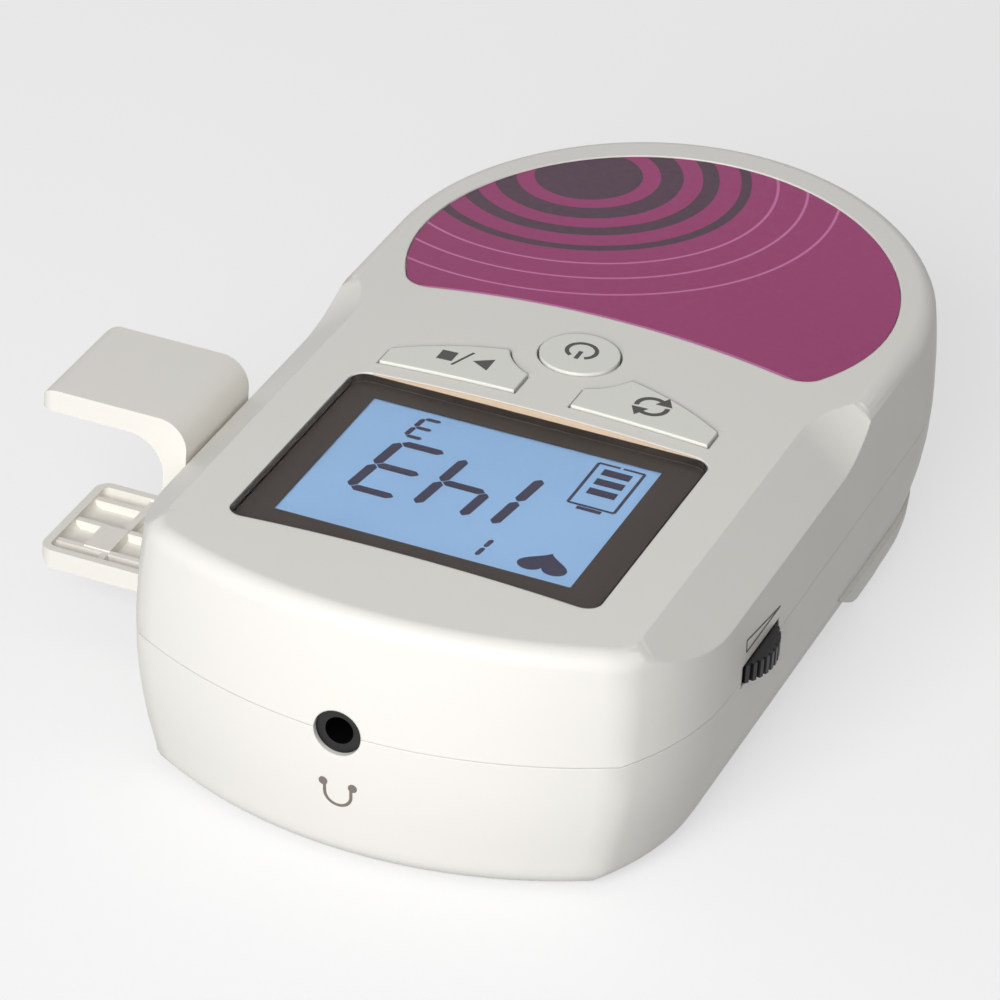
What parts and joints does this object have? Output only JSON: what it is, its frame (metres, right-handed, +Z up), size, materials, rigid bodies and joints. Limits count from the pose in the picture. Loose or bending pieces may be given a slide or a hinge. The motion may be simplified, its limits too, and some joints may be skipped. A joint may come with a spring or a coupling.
{
  "type": "fetal doppler monitor",
  "caption": "Hand-held fetal doppler monitor: a rounded case with a display, three keys, a volume thumbwheel, a headphone socket and a C-shaped side holder for the probe.",
  "frame": {"origin": "middle of the flat front part of the underside", "axes": "+X towards the volume wheel's side, -Y towards the headphone socket's end, +Y towards the round end, +Z up through the display"},
  "size_m": [0.0963, 0.1348, 0.0403],
  "materials": {
    "case_white": "satin, fine grain",
    "key_white": "satin",
    "label_magenta": "satin printed foil",
    "lens_brown": "clear with a dark printed border",
    "display_blue": "backlit",
    "light_guide": "matt",
    "black_plastic": "matt",
    "black_gloss": "glossy",
    "board_green": "solder mask",
    "steel": "plated",
    "pot_brown": "phenolic",
    "cell_blue": "plastic sleeve",
    "mesh_black": "woven"
  },
  "bodies": {
    "case": {"upper_shell": "case_white", "lower_shell": "case_white", "battery_tray": "case_white", "probe_holder": "case_white", "label": "label_magenta", "lens": "lens_brown", "lcd_glass": "display_blue", "lcd_backlight": "light_guide", "lcd_frame": "black_plastic", "main_board": "board_green", "power_switch": "black_plastic", "play_switch": "black_plastic", "mode_switch": "black_plastic", "volume_pot": "pot_brown", "wheel_screw": "steel", "headphone_jack": "black_gloss", "probe_socket": "black_gloss", "speaker": "black_plastic", "speaker_mesh": "mesh_black", "cell_front": "cell_blue", "cell_rear": "cell_blue", "contact_front_plus": "steel", "contact_front_minus": "steel", "contact_rear_plus": "steel", "contact_rear_minus": "steel", "screw_front_right": "steel", "screw_front_left": "steel", "screw_rear_right": "steel", "screw_rear_left": "steel", "shield_can": "steel", "main_chip": "black_plastic"},
    "power_key": {"power_key": "key_white"},
    "play_key": {"play_key": "key_white"},
    "mode_key": {"mode_key": "key_white"},
    "volume_wheel": {"volume_wheel": "black_plastic"},
    "battery_cover": {"battery_cover": "case_white"}
  },
  "joints": [
    {"name": "power_press", "type": "slide", "parent": "case", "child": "power_key", "axis": [0, 0, -1], "range_m": [0, 0.0005], "stiffness_N_per_m": 400},
    {"name": "play_press", "type": "slide", "parent": "case", "child": "play_key", "axis": [0, 0, -1], "range_m": [0, 0.0005], "stiffness_N_per_m": 400},
    {"name": "mode_press", "type": "slide", "parent": "case", "child": "mode_key", "axis": [0, 0, -1], "range_m": [0, 0.0005], "stiffness_N_per_m": 400},
    {"name": "volume_turn", "type": "hinge", "parent": "case", "child": "volume_wheel", "pos_m": [0.03, -0.0283, 0.0194], "axis": [0, 0, 1], "range_deg": [-140, 140]},
    {"name": "cover_lift", "type": "slide", "parent": "case", "child": "battery_cover", "axis": [0, 0, -1], "range_m": [0, 0.015]}
  ]
}
